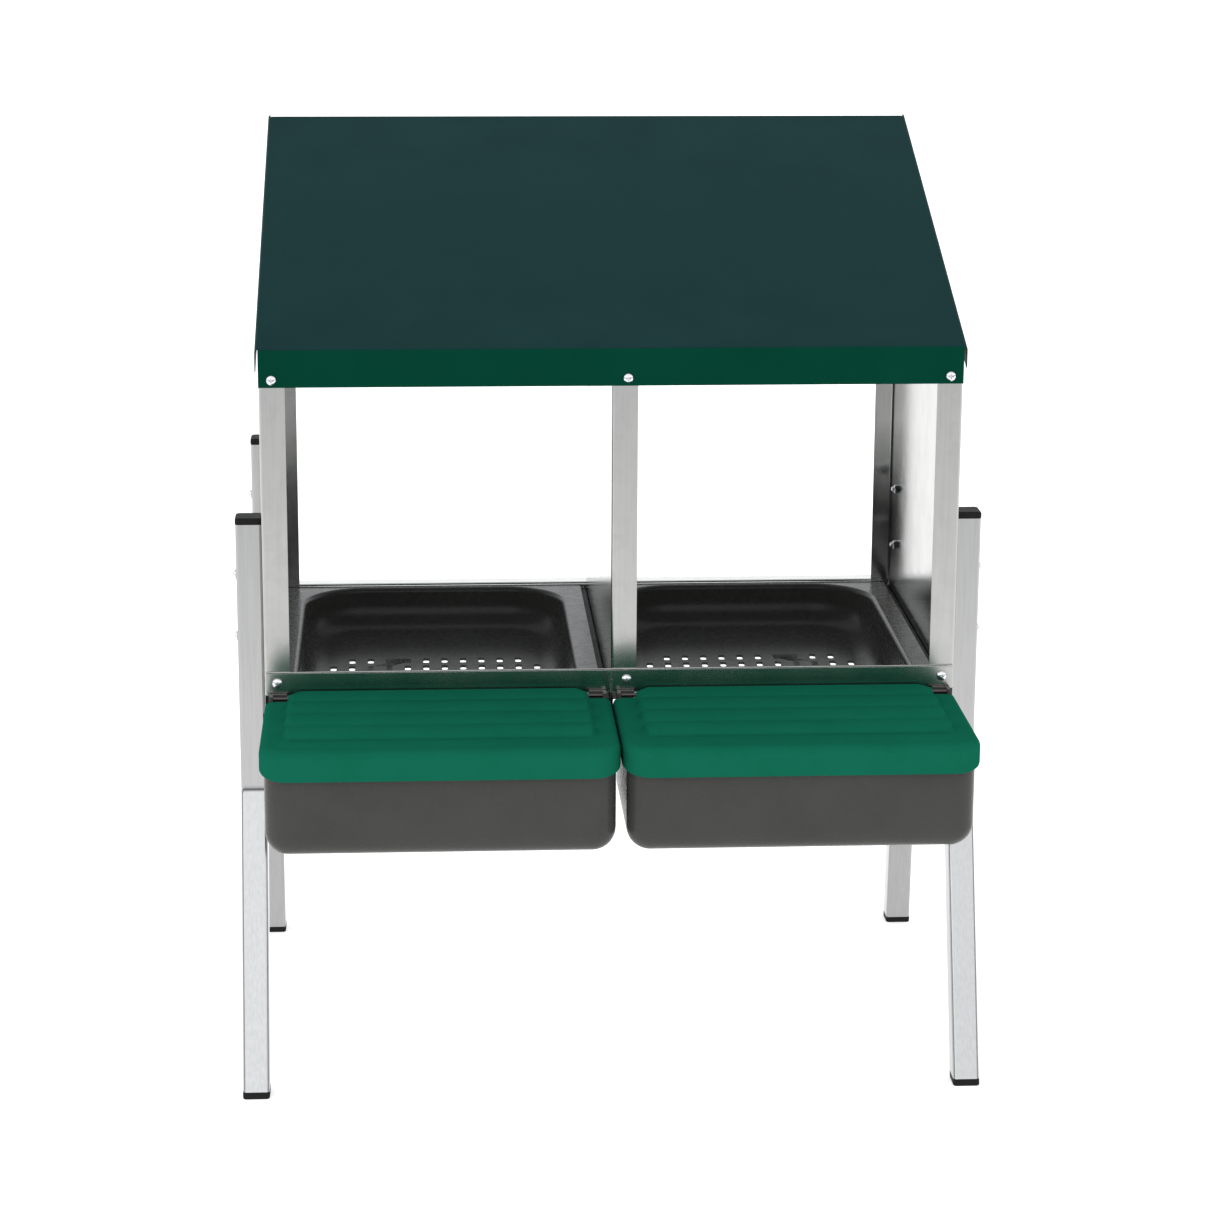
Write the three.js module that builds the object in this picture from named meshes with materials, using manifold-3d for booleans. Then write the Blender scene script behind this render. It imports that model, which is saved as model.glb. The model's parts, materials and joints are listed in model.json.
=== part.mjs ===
// Two-compartment roll-away nesting box: a galvanised housing with a green sheet roof on four
// cranked square-tube legs, two plastic nest trays that slide out, and a hinged lid over each
// tray's egg collector. Millimetres, +Z up.
//
// Everything is laid out from the middle of the housing (X = 0), the front face of its posts
// (Y = 0, +Y to the rear) and the ground (Z = 0). The last group moves it along Y, so that the
// origin is at the centre of the footprint.

import * as THREE from 'three';
import { mergeVertices } from 'three/addons/utils/BufferGeometryUtils.js';
import Module from 'manifold-3d';

const wasm = await Module();
wasm.setup();

// ---- Driving dimensions ----

const gap = 0.3;                    // clearance between pieces that touch
const sheet = 1;                    // thickness of the galvanised and painted sheet

const housingWidth = 650;           // over the outer faces of the side panels
const housingDepth = 430;           // over the front and rear flanges
const webBottom = 350;              // lower edge of the side panels and of the divider
const postBottom = 375.8;           // lower edge of the front flanges, clear of the trays
const postFlange = 24;              // width of the front flanges
const rearFlange = 20;              // width of the rear flanges

const roofWidth = 656;
const eavesHeight = 703.3;          // top of the roof at its front edge
const ridgeHeight = 870.2;          // top of the roof at its rear edge
const fasciaHeight = 34.8;
const fasciaWidth = 650;
const roofSideFlange = 20;
const roofRearFlange = 30;

const frontRailHeight = 23;
const frontRailWidth = 647;
const railHem = 1.3;                // height and depth of the folded top edge of the front rail
const rearRailTop = 374;
const rearRailHeight = 24;
const rearLedgeDepth = 20;
const rearLedgeLip = 7;

const runnerWidth = 20;             // horizontal leg of the plastic angles that the trays slide on
const runnerHeight = 18;
const rimTop = 371.5;               // upper face of the tray rims
const rimThickness = 2.5;

const trayCentre = 162.7;           // distance of each tray's middle from the middle of the housing
const trayRimWidth = 311;
const trayRimRear = 428;
const nestWidth = 266.5;            // inside the nest recess
const nestRear = 420;
const nestCornerRadius = 60;
const nestEdgeRadius = 24;          // between the recess's walls and its floor
const nestWall = 2.5;
const nestFloorFront = 293;         // height of the nest floor at Y = 0
const nestFloorRise = 0.0905;       // slope of the nest floor, so that eggs roll to the front
const collectorWidth = 316;
const collectorFront = -173;
const collectorRear = -5.5;
const collectorBottom = 272;
const collectorRadius = 22;         // of the collector's upright and lower edges
const collectorWall = 3;
const pocketRear = 20;              // where the collector's floor meets the nest floor

const slotWidth = 6;
const slotLength = 12;
const slotPitch = 19;
const slotRowPitch = 20.5;
const slotRearRow = 313;            // Y of the first row, at the rear of the nest floor
const slotRows = 8;
const slotsInRow = 12;
const slotsInRearRow = 10;

const lidWidth = 324;
const lidFront = -180;
const lidRear = -4.5;
const lidTop = 374;
const lidLipBottom = 346.6;
const lidWall = 2.2;
const lidCornerRadius = 27;
const lidEdgeRadius = 8;
const lidInnerEdgeRadius = 3;       // small enough to clear the collector's rim
const ribFieldWidth = 286;
const ribChamfer = 9;               // at the rear corners of the ribbed field
const ribCrest = 381;
const ribGroove = 377.4;
const ribBounds = [-4.5, -27, -66, -107, -143];

const pinRadius = 1.6;
const pinY = -11.5;
const pinZ = 375.6;
const lugInset = 4.2;               // from the lid's side to the outside of the ear that holds the pin
const lugLength = 16.5;
const lugFront = -5.6;
const lugRear = -2;
const earThickness = 3.8;
const earFront = -15;
const lidNotchFront = -15.8;
const notchClearance = 0.7;         // beside the ear and the lug
const bossRadius = 3.8;             // of the lid's knuckles, inside the ends of the ribbed field
const bossLength = 7;
const boreClearance = 0.4;
const reliefDepth = 8;
const reliefIntoRim = 2;

const tube = 25;                    // outside of the square leg tube
const tubeWall = 1.5;
const bendHeight = 277.6;           // of the front face's bend
const frontLeg = { front: 22, foot: -71.7, top: 541 };
const rearLeg = { front: 363, foot: 385, top: 546 };
const capHeight = 6;
const capPlug = 12;
const boltHeights = [425, 485];

const screwShank = 2.1;
const boltShank = 2.5;
const holeClearance = 0.6;
const fasciaScrewHeight = 675.6;
const railScrewHeight = 388;
const rearRailScrewHeight = 362;
const roofRearScrewDrop = 16;

// ---- Derived dimensions ----

const halfWidth = housingWidth / 2;
const roofFront = -(gap + sheet);
const roofRear = housingDepth + gap + sheet;
const roofSlope = (ridgeHeight - eavesHeight) / (roofRear - roofFront);
const roofAngle = Math.atan(roofSlope);
const runnerTop = rimTop - rimThickness - gap;
const screwColumns = [-313, 14.2, 313];
const rearScrewColumns = [-314, 11, 314];
const ledgeRear = roofRear + rearLedgeDepth;
const legInside = halfWidth + gap;
const footprintCentre = (lidFront + ledgeRear) / 2;
const lugOuter = lidWidth / 2 - lugInset;    // from the tray's middle line, like the next two
const notchOuter = lugOuter + notchClearance;
const notchInner = lugOuter - lugLength - notchClearance;

// ---- Materials ----

function material(color, roughness, metalness) {
  return new THREE.MeshStandardMaterial({ color, roughness, metalness });
}

const galvanised = () => material(0xb9bcbd, 0.35, 0.85);
const roofGreen = () => material(0x0d3f33, 0.4, 0.1);
const lidGreen = () => material(0x12624c, 0.5, 0);
const trayGrey = () => material(0x4b4a48, 0.55, 0);
const blackPlastic = () => material(0x242424, 0.6, 0);
const zinc = () => material(0xd4d6d8, 0.22, 0.95);
const pinSteel = () => material(0x7a7472, 0.4, 0.7);

// ---- Solids and geometries ----

function toSolid(geometry) {
  const bare = geometry.clone();
  bare.deleteAttribute('normal');
  bare.deleteAttribute('uv');
  const merged = mergeVertices(bare);
  const triVerts = Uint32Array.from(merged.index.array);
  return new wasm.Manifold(new wasm.Mesh({
    numProp: 3,
    vertProperties: Float32Array.from(merged.attributes.position.array),
    triVerts,
  }));
}

function toGeometry(solid) {
  const mesh = solid.getMesh();
  const geometry = new THREE.BufferGeometry();
  geometry.setAttribute('position', new THREE.BufferAttribute(Float32Array.from(mesh.vertProperties), 3));
  geometry.setIndex(new THREE.BufferAttribute(Uint32Array.from(mesh.triVerts), 1));
  geometry.computeVertexNormals();
  return geometry;
}

// Joins the first list of geometries and cuts the second list out of them.
function carve(joined, removed = []) {
  const whole = joined.map(toSolid).reduce((sum, next) => sum.add(next));
  return toGeometry(removed.map(toSolid).reduce((rest, tool) => rest.subtract(tool), whole));
}

function block([x0, x1], [y0, y1], [z0, z1]) {
  const geometry = new THREE.BoxGeometry(x1 - x0, y1 - y0, z1 - z0);
  return geometry.translate((x0 + x1) / 2, (y0 + y1) / 2, (z0 + z1) / 2);
}

// A polygon of [y, z] points, extruded along X from x0 to x1.
function sidePrism(points, x0, x1) {
  const shape = new THREE.Shape(points.map(([y, z]) => new THREE.Vector2(y, z)));
  const geometry = new THREE.ExtrudeGeometry(shape, { depth: x1 - x0, bevelEnabled: false });
  const axes = new THREE.Matrix4().makeBasis(
    new THREE.Vector3(0, 1, 0),
    new THREE.Vector3(0, 0, 1),
    new THREE.Vector3(1, 0, 0),
  );
  return geometry.applyMatrix4(axes).translate(x0, 0, 0);
}

// A cylinder along 'x' or 'y', centred on the given point.
function rod(axis, radius, length, [x, y, z], sides = 10) {
  const geometry = new THREE.CylinderGeometry(radius, radius, length, sides);
  if (axis === 'x') {
    geometry.rotateZ(Math.PI / 2);
  }
  return geometry.translate(x, y, z);
}

// A rectangle in plan with rounded corners, one radius in front and one at the rear.
function plan([x0, x1], [y0, y1], frontRadius, rearRadius) {
  const shape = new THREE.Shape();
  const quarter = Math.PI / 2;
  const corners = [
    [x0, y0, frontRadius, 2],
    [x1, y0, frontRadius, 3],
    [x1, y1, rearRadius, 0],
    [x0, y1, rearRadius, 1],
  ];
  for (const [x, y, radius, turn] of corners) {
    const inX = x === x0 ? x + radius : x - radius;
    const inY = y === y0 ? y + radius : y - radius;
    if (radius > 0) {
      shape.absarc(inX, inY, radius, turn * quarter, (turn + 1) * quarter, false);
    } else if (turn === 2) {
      shape.moveTo(x, y);
    } else {
      shape.lineTo(x, y);
    }
  }
  shape.closePath();
  return shape;
}

// A plan outline raised from z0 to z1, with its upper and lower edges rounded off. The ends
// that should stay square are made longer than needed and trimmed by a later cut.
function roundedBlock(outline, [z0, z1], edgeRadius, segments = 4) {
  const geometry = new THREE.ExtrudeGeometry(outline, {
    depth: z1 - z0 - 2 * edgeRadius,
    bevelSize: edgeRadius,
    bevelThickness: edgeRadius,
    bevelOffset: -edgeRadius,
    bevelSegments: segments,
    curveSegments: 3,
  });
  return geometry.translate(0, 0, z0 + edgeRadius);
}

function straightBlock(outline, [z0, z1]) {
  const geometry = new THREE.ExtrudeGeometry(outline, { depth: z1 - z0, bevelEnabled: false, curveSegments: 3 });
  return geometry.translate(0, 0, z0);
}

// The same geometry on the other side of X = 0.
function mirrored(geometry) {
  const copy = geometry.clone().scale(-1, 1, 1);
  const index = copy.index.array;
  for (let i = 0; i < index.length; i += 3) {
    [index[i + 1], index[i + 2]] = [index[i + 2], index[i + 1]];
  }
  copy.computeVertexNormals();
  return copy;
}

const assembly = new THREE.Group();

function place(name, geometry, finish) {
  const mesh = new THREE.Mesh(geometry, finish);
  mesh.name = name;
  assembly.add(mesh);
  return mesh;
}

function placePair(name, leftGeometry, finish) {
  place(`${name}_left`, leftGeometry, finish());
  place(`${name}_right`, mirrored(leftGeometry), finish());
}

// ---- Housing ----

function roofUnderside(y) {
  return eavesHeight + (y - roofFront) * roofSlope - (sheet + gap) / Math.cos(roofAngle);
}

function screwHole(x, y, z) {
  return rod('y', screwShank + holeClearance, 6, [x, y, z], 8);
}

function boltHole(x, y, z, length) {
  return rod('x', boltShank + holeClearance, length, [x, y, z], 8);
}

function legCentre(leg) {
  return leg.front + tube / 2;
}

// The upright web of a side panel or of the divider, with its sloping top edge.
function web(x0, x1) {
  const outline = [
    [0, webBottom],
    [housingDepth, webBottom],
    [housingDepth, roofUnderside(housingDepth)],
    [0, roofUnderside(0)],
  ];
  return sidePrism(outline, x0, x1);
}

function uprightFlanges([frontX0, frontX1], [rearX0, rearX1]) {
  const rearTop = roofUnderside(housingDepth - sheet);
  return [
    block([frontX0, frontX1], [0, sheet], [postBottom, roofUnderside(0)]),
    block([rearX0, rearX1], [housingDepth - sheet, housingDepth], [webBottom, rearTop]),
  ];
}

function uprightHoles(frontX, rearX) {
  return [
    screwHole(frontX, 0, fasciaScrewHeight),
    screwHole(frontX, 0, railScrewHeight),
    screwHole(rearX, housingDepth, rearRailScrewHeight),
    screwHole(rearX, housingDepth, ridgeHeight - roofRearScrewDrop),
  ];
}

function sidePanel() {
  const outer = -halfWidth;
  const holes = uprightHoles(screwColumns[0], rearScrewColumns[0]);
  for (const leg of [frontLeg, rearLeg]) {
    for (const height of boltHeights) {
      holes.push(boltHole(outer, legCentre(leg), height, 6));
    }
  }
  const flanges = uprightFlanges([outer, outer + postFlange], [outer, outer + rearFlange]);
  return carve([web(outer, outer + sheet), ...flanges], holes);
}

function centreDivider() {
  const left = -sheet / 2;
  const flanges = uprightFlanges([left, left + postFlange], [left, left + rearFlange]);
  return carve([web(left, left + sheet), ...flanges], uprightHoles(screwColumns[1], rearScrewColumns[1]));
}

// An angle whose horizontal leg carries a tray's rim. It starts at the web face at webX and
// reaches inwards by the given sign.
function runner(webX, inwards) {
  const outerX = webX + inwards * gap;
  const span = (reach) => [outerX, outerX + inwards * reach].sort((a, b) => a - b);
  const length = [2 * sheet, trayRimRear];
  return carve([
    block(span(runnerWidth), length, [runnerTop - sheet, runnerTop]),
    block(span(sheet), length, [runnerTop - runnerHeight, runnerTop]),
  ]);
}

function roofPanel() {
  const slantThickness = sheet / Math.cos(roofAngle);
  const innerFront = eavesHeight + sheet * roofSlope - slantThickness;
  const innerRear = ridgeHeight - sheet * roofSlope - slantThickness;
  const section = [
    [roofFront, eavesHeight - fasciaHeight],
    [roofFront + sheet, eavesHeight - fasciaHeight],
    [roofFront + sheet, innerFront],
    [roofRear - sheet, innerRear],
    [roofRear - sheet, ridgeHeight - roofRearFlange],
    [roofRear, ridgeHeight - roofRearFlange],
    [roofRear, ridgeHeight],
    [roofFront, eavesHeight],
  ];
  const side = [
    [roofFront, eavesHeight - roofSideFlange],
    [roofRear, ridgeHeight - roofSideFlange],
    [roofRear, ridgeHeight],
    [roofFront, eavesHeight],
  ];
  const deck = [
    [roofFront, eavesHeight - slantThickness],
    [roofRear, ridgeHeight - slantThickness],
    [roofRear, ridgeHeight],
    [roofFront, eavesHeight],
  ];
  const edge = roofWidth / 2;
  const holes = [];
  for (const x of screwColumns) {
    holes.push(screwHole(x, roofFront, fasciaScrewHeight));
  }
  for (const x of rearScrewColumns) {
    holes.push(screwHole(x, roofRear, ridgeHeight - roofRearScrewDrop));
  }
  const pieces = [
    sidePrism(section, -fasciaWidth / 2, fasciaWidth / 2),
    sidePrism(deck, -edge, edge),
    sidePrism(side, -edge, -edge + sheet),
    sidePrism(side, edge - sheet, edge),
  ];
  return carve(pieces, holes);
}

function frontRail() {
  const half = frontRailWidth / 2;
  const top = postBottom + frontRailHeight;
  const section = [
    [roofFront, postBottom],
    [-gap, postBottom],
    [-gap, top - 0.3 * railHem],
    [-gap - 0.3 * railHem, top],
    [-gap - 0.8 * railHem, top],
    [-gap - railHem, top - 0.3 * railHem],
    [-gap - railHem, top - 0.8 * railHem],
    [roofFront, top - railHem],
  ];
  const holes = screwColumns.map((x) => screwHole(x, roofFront, railScrewHeight));
  return carve([sidePrism(section, -half, half)], holes);
}

function rearRail() {
  const half = housingWidth / 2;
  const back = housingDepth + gap;
  const section = [
    [back, rearRailTop - rearRailHeight],
    [back + sheet, rearRailTop - rearRailHeight],
    [back + sheet, rearRailTop - sheet],
    [ledgeRear - sheet, rearRailTop - sheet],
    [ledgeRear - sheet, rearRailTop - rearLedgeLip],
    [ledgeRear, rearRailTop - rearLedgeLip],
    [ledgeRear, rearRailTop],
    [back, rearRailTop],
  ];
  const holes = rearScrewColumns.map((x) => screwHole(x, back, rearRailScrewHeight));
  return carve([sidePrism(section, -half, half)], holes);
}

function addHousing() {
  placePair('side_panel', sidePanel(), galvanised);
  place('center_divider', centreDivider(), galvanised());
  const sideFace = halfWidth - sheet;
  place('tray_runner_left_outer', runner(-sideFace, 1), blackPlastic());
  place('tray_runner_left_inner', runner(-sheet / 2, -1), blackPlastic());
  place('tray_runner_right_inner', runner(sheet / 2, 1), blackPlastic());
  place('tray_runner_right_outer', runner(sideFace, -1), blackPlastic());
  place('front_rail', frontRail(), galvanised());
  place('rear_rail', rearRail(), galvanised());
  place('roof_panel', roofPanel(), roofGreen());
}

// ---- Trays, lids and their hinge pins ----

function acrossTray(width, inset = 0) {
  return [-trayCentre - width / 2 + inset, -trayCentre + width / 2 - inset];
}

function tiltedToFloor(geometry) {
  const shear = new THREE.Matrix4().set(1, 0, 0, 0, 0, 1, 0, 0, 0, nestFloorRise, 1, 0, 0, 0, 0, 1);
  return geometry.applyMatrix4(shear);
}

// The nest recess, grown outwards by the given amount: 0 for its inside, one wall for its outside.
function nestVolume(grown, front, top) {
  const outline = plan(
    acrossTray(nestWidth, -grown),
    [front, nestRear + grown],
    0,
    nestCornerRadius + grown,
  );
  return tiltedToFloor(roundedBlock(outline, [nestFloorFront - grown, top], nestEdgeRadius + grown, 3));
}

function collectorVolume(inset, top) {
  const radius = collectorRadius - inset;
  const outline = plan(
    acrossTray(collectorWidth, inset),
    [collectorFront + inset, collectorRear - inset],
    radius,
    0,
  );
  return roundedBlock(outline, [collectorBottom + inset, top], radius - 1);
}

// The part of the collector that runs back under the front rail, where the eggs drop into it.
function pocketVolume(inset, front) {
  const across = acrossTray(nestWidth, inset - collectorWall);
  const top = nestFloorFront + 2 * nestEdgeRadius;
  return block(across, [front, pocketRear + collectorWall - inset], [collectorBottom + inset, top]);
}

function floorSlots() {
  const slots = [];
  for (let row = 0; row < slotRows; row += 1) {
    const count = row === 0 ? slotsInRearRow : slotsInRow;
    const y = slotRearRow - row * slotRowPitch;
    for (let i = 0; i < count; i += 1) {
      const x = -trayCentre + (i - (count - 1) / 2) * slotPitch;
      const span = [y - slotLength / 2, y + slotLength / 2];
      const floor = nestFloorFront + y * nestFloorRise;
      slots.push(block([x - slotWidth / 2, x + slotWidth / 2], span, [floor - 10, floor + 10]));
    }
  }
  return slots;
}

// A span in X measured from the tray's middle line, on the given side of it.
function onSide(side, from, to) {
  return [side * from, side * to].map((x) => x - trayCentre).sort((a, b) => a - b);
}

// A lug at one rear corner of the collector, with the ear that holds the hinge pin.
function hingeLug(side) {
  return [
    block(onSide(side, lugOuter - lugLength, lugOuter), [lugFront, lugRear], [rimTop - 1, pinZ + 2.4]),
    block(onSide(side, lugOuter - earThickness, lugOuter), [earFront, lugRear], [rimTop - 1, pinZ + 2.6]),
  ];
}

// A dip in the collector's rear wall and the rim behind it, which the ribbed field of the open
// lid turns down into.
function lidRelief(side) {
  const across = onSide(side, nestWidth / 2 - 1, lugOuter - lugLength - 0.5);
  const along = [collectorRear - collectorWall - 1, collectorRear + reliefIntoRim];
  return block(across, along, [rimTop - reliefDepth, rimTop + 1]);
}

function pinBore() {
  return rod('x', pinRadius + boreClearance, lidWidth - 2, [-trayCentre, pinY, pinZ], 12);
}

function nestTray() {
  const above = block([-400, 100], [-300, 600], [rimTop, rimTop + 300]);
  const rim = straightBlock(
    plan(acrossTray(trayRimWidth), [collectorRear, trayRimRear], 0, 6),
    [rimTop - rimThickness, rimTop],
  );
  const shell = carve(
    [
      collectorVolume(0, rimTop + 30),
      pocketVolume(0, collectorRear - 1),
      nestVolume(nestWall, collectorRear - 5, rimTop + 30),
      rim,
    ],
    [above],
  );
  const hollows = [
    collectorVolume(collectorWall, rimTop + 40),
    pocketVolume(collectorWall, collectorRear - 20),
    nestVolume(0, collectorRear - 30, rimTop + 60),
    lidRelief(-1),
    lidRelief(1),
    ...floorSlots(),
  ];
  return carve([carve([shell], hollows), ...hingeLug(-1), ...hingeLug(1)], [pinBore()]);
}

// Upper line of the ribbed field, from its rear edge to its front edge, as [y, z] points.
function ribLine(drop) {
  const points = [[ribBounds[0], ribCrest - 1.5 - drop]];
  const steps = 6;
  for (let rib = 1; rib < ribBounds.length; rib += 1) {
    const rear = ribBounds[rib - 1];
    const front = ribBounds[rib];
    const isFirst = rib === 1;
    const isLast = rib === ribBounds.length - 1;
    for (let i = 1; i <= steps; i += 1) {
      const t = i / steps;
      const climb = isFirst ? Math.cos((t * Math.PI) / 2) : Math.sin(t * Math.PI);
      const low = isLast && t > 0.5 ? lidTop - 0.5 : ribGroove;
      const height = low + (ribCrest - low) * Math.pow(climb, 0.6);
      points.push([rear + (front - rear) * t, height - drop]);
    }
  }
  return points;
}

function ribField(inset, drop) {
  const across = acrossTray(ribFieldWidth, inset);
  const [x0, x1] = across;
  const rear = ribBounds[0];
  const front = ribBounds[ribBounds.length - 1] + inset;
  const base = lidTop - lidWall - drop;
  const section = [...ribLine(drop), [front, base], [rear, base]];
  const outline = new THREE.Shape([
    new THREE.Vector2(x0 + ribChamfer, rear + 1),
    new THREE.Vector2(x0, rear - ribChamfer),
    new THREE.Vector2(x0, front + ribChamfer),
    new THREE.Vector2(x0 + ribChamfer / 3, front + ribChamfer / 3),
    new THREE.Vector2(x0 + ribChamfer, front),
    new THREE.Vector2(x1 - ribChamfer, front),
    new THREE.Vector2(x1 - ribChamfer / 3, front + ribChamfer / 3),
    new THREE.Vector2(x1, front + ribChamfer),
    new THREE.Vector2(x1, rear - ribChamfer),
    new THREE.Vector2(x1 - ribChamfer, rear + 1),
  ]);
  const ribs = toSolid(sidePrism(section, x0 - 1, x1 + 1));
  const column = toSolid(straightBlock(outline, [base - 10, ribCrest + 10]));
  return toGeometry(ribs.intersect(column));
}

function eggLid() {
  const outer = roundedBlock(
    plan(acrossTray(lidWidth), [lidFront, lidRear], lidCornerRadius, lidEdgeRadius + 1),
    [lidLipBottom - 20, lidTop],
    lidEdgeRadius,
  );
  const inner = roundedBlock(
    plan(acrossTray(lidWidth, lidWall), [lidFront + lidWall, 40], lidCornerRadius - lidWall, 0),
    [lidLipBottom - 30, lidTop - lidWall],
    lidInnerEdgeRadius,
  );
  const below = block([-400, 100], [-300, 100], [lidLipBottom - 40, lidLipBottom]);
  const shell = carve([outer], [inner, below]);
  const cutters = [ribField(lidWall, lidWall)];
  const bosses = [];
  for (const side of [-1, 1]) {
    cutters.push(block(onSide(side, notchInner, notchOuter), [lidNotchFront, 5], [lidLipBottom, ribCrest + 5]));
    const bossCentre = -trayCentre + side * (notchInner - 1 - bossLength / 2);
    bosses.push(rod('x', bossRadius, bossLength, [bossCentre, pinY, pinZ], 12));
  }
  const open = carve([shell, ribField(0, 0)], cutters);
  return carve([open, ...bosses], [pinBore()]);
}

// A hinge pin runs from the outside of the tray's ear through the lid's boss.
function hingePin(side) {
  const length = lugOuter - notchInner + bossLength;
  return rod('x', pinRadius, length, [-trayCentre + side * (lugOuter - length / 2), pinY, pinZ], 12);
}

function addTrays() {
  placePair('nest_tray', nestTray(), trayGrey);
  placePair('egg_lid', eggLid(), lidGreen);
  placePair('hinge_pin_outer', hingePin(-1), pinSteel);
  placePair('hinge_pin_inner', hingePin(1), pinSteel);
}

// ---- Legs ----

// Side outline of a cranked leg between two heights: half a tube wide on each side of its
// centre line, upright above the bend and leaning towards the foot below it.
function legOutline(leg, half, top, bottom) {
  const lean = (leg.front - leg.foot) / bendHeight;
  const halfTurn = Math.atan(lean) / 2;
  const centreBend = bendHeight - (tube / 2) * Math.tan(halfTurn);
  const side = (sign) => {
    const bendY = legCentre(leg) - sign * half;
    const bendZ = centreBend + sign * half * Math.tan(halfTurn);
    const yAt = (z) => bendY - Math.max(bendZ - z, 0) * lean;
    const points = [[yAt(top), top]];
    if (top > bendZ) {
      points.push([bendY, bendZ]);
    }
    points.push([yAt(bottom), bottom]);
    return points;
  };
  return [...side(1), ...side(-1).reverse()];
}

function legTube(leg) {
  const x0 = -legInside - tube;
  const x1 = -legInside;
  const top = leg.top - capHeight - gap;
  const bottom = capHeight + gap;
  const outer = sidePrism(legOutline(leg, tube / 2, top, bottom), x0, x1);
  const bore = sidePrism(
    legOutline(leg, tube / 2 - tubeWall, top + 5, bottom - 5),
    x0 + tubeWall,
    x1 - tubeWall,
  );
  const middle = (x0 + x1) / 2;
  const holes = boltHeights.map((height) => boltHole(middle, legCentre(leg), height, tube + 5));
  return carve([outer], [bore, ...holes]);
}

function plugSpan(grown) {
  return [-legInside - tube - grown, -legInside + Math.min(grown, gap / 2)];
}

function topCap(leg) {
  const middle = legCentre(leg);
  const reach = tube / 2 - tubeWall - 0.4;
  const plate = block(plugSpan(0.3), [middle - tube / 2 - 0.3, middle + tube / 2 + 0.3], [leg.top - capHeight, leg.top]);
  const plug = block(
    plugSpan(-tubeWall - 0.4),
    [middle - reach, middle + reach],
    [leg.top - capHeight - capPlug, leg.top - capHeight + 1],
  );
  return carve([plate, plug]);
}

function footCap(leg) {
  const [outside, inside] = plugSpan(0.3);
  const plate = sidePrism(legOutline(leg, tube / 2 + 0.3, capHeight, 0), outside, inside);
  const [plugOutside, plugInside] = plugSpan(-tubeWall - 0.4);
  const reach = tube / 2 - tubeWall - 0.4;
  const plug = sidePrism(legOutline(leg, reach, capHeight + capPlug, capHeight - 1), plugOutside, plugInside);
  return carve([plate, plug]);
}

function addLegs() {
  for (const [end, leg] of [['front', frontLeg], ['rear', rearLeg]]) {
    placePair(`${end}_leg`, legTube(leg), galvanised);
    placePair(`${end}_leg_top_cap`, topCap(leg), blackPlastic);
    placePair(`${end}_leg_foot_cap`, footCap(leg), blackPlastic);
  }
}

// ---- Fasteners ----

// A domed head on a plain shank, with the head's seat at the origin and its top towards +Y.
function fastener(shankRadius, shankLength, headRadius, headHeight) {
  const profile = [
    [0, -shankLength],
    [shankRadius, -shankLength + 0.6 * shankRadius],
    [shankRadius, 0],
    [headRadius, 0],
    [0.94 * headRadius, 0.45 * headHeight],
    [0.6 * headRadius, 0.88 * headHeight],
    [0, headHeight],
  ];
  return new THREE.LatheGeometry(profile.map(([r, y]) => new THREE.Vector2(r, y)), 12);
}

function screw() {
  return fastener(screwShank, 11, 4.8, 3);
}

function legBolt() {
  return fastener(boltShank, 34, 4.8, 3.7);
}

function hexNut() {
  const acrossFlats = 8;
  const corner = acrossFlats / Math.sqrt(3);
  const turns = [0, 1, 2, 3, 4, 5].map((i) => (i * Math.PI) / 3);
  const hexagon = new THREE.Shape(
    turns.map((angle) => new THREE.Vector2(corner * Math.cos(angle), corner * Math.sin(angle))),
  );
  const bore = new THREE.Path();
  bore.absarc(0, 0, boltShank + 0.35, 0, 2 * Math.PI, true);
  hexagon.holes.push(bore);
  const nut = new THREE.ExtrudeGeometry(hexagon, { depth: 4, bevelEnabled: false, curveSegments: 5 });
  return nut.rotateY(Math.PI / 2);
}

function addScrewRow(name, columns, y, z, facesFront) {
  const labels = ['left', 'center', 'right'];
  columns.forEach((x, i) => {
    const mesh = place(`${name}_${labels[i]}`, screw(), zinc());
    mesh.position.set(x, y, z);
    if (facesFront) {
      mesh.rotation.z = Math.PI;
    }
  });
}

function addLegBolts() {
  const headSeat = legInside + tube + gap;
  const nutSeat = halfWidth - sheet - gap - 4;
  for (const [sideName, side] of [['left', -1], ['right', 1]]) {
    for (const [end, leg] of [['front', frontLeg], ['rear', rearLeg]]) {
      for (const [level, height] of [['lower', boltHeights[0]], ['upper', boltHeights[1]]]) {
        const label = `${end}_${sideName}_${level}`;
        const bolt = place(`leg_bolt_${label}`, legBolt(), zinc());
        bolt.position.set(side * headSeat, legCentre(leg), height);
        bolt.rotation.z = (-side * Math.PI) / 2;
        const nut = place(`leg_nut_${label}`, hexNut(), zinc());
        nut.position.set(side > 0 ? nutSeat : -nutSeat - 4, legCentre(leg), height);
      }
    }
  }
}

function addFasteners() {
  const frontSeat = roofFront - gap;
  addScrewRow('fascia_screw', screwColumns, frontSeat, fasciaScrewHeight, true);
  addScrewRow('front_rail_screw', screwColumns, frontSeat, railScrewHeight, true);
  addScrewRow('rear_rail_screw', rearScrewColumns, roofRear + gap, rearRailScrewHeight, false);
  addScrewRow('roof_rear_screw', rearScrewColumns, roofRear + gap, ridgeHeight - roofRearScrewDrop, false);
  addLegBolts();
}

addHousing();
addTrays();
addLegs();
addFasteners();

assembly.position.y = -footprintCentre;
assembly.name = 'nesting_box';

export default assembly;
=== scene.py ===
"""A two-compartment roll-away nesting box: its fine surfaces, finishes, light and camera.

Lengths are in millimetres until a mesh is made. They are measured from the middle of the housing
(X), the front face of its posts (Y, to the rear) and the ground (Z), as the CAD model is laid out.
"""

import json
import math

import bmesh
import bpy
from mathutils import Matrix, Vector

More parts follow.
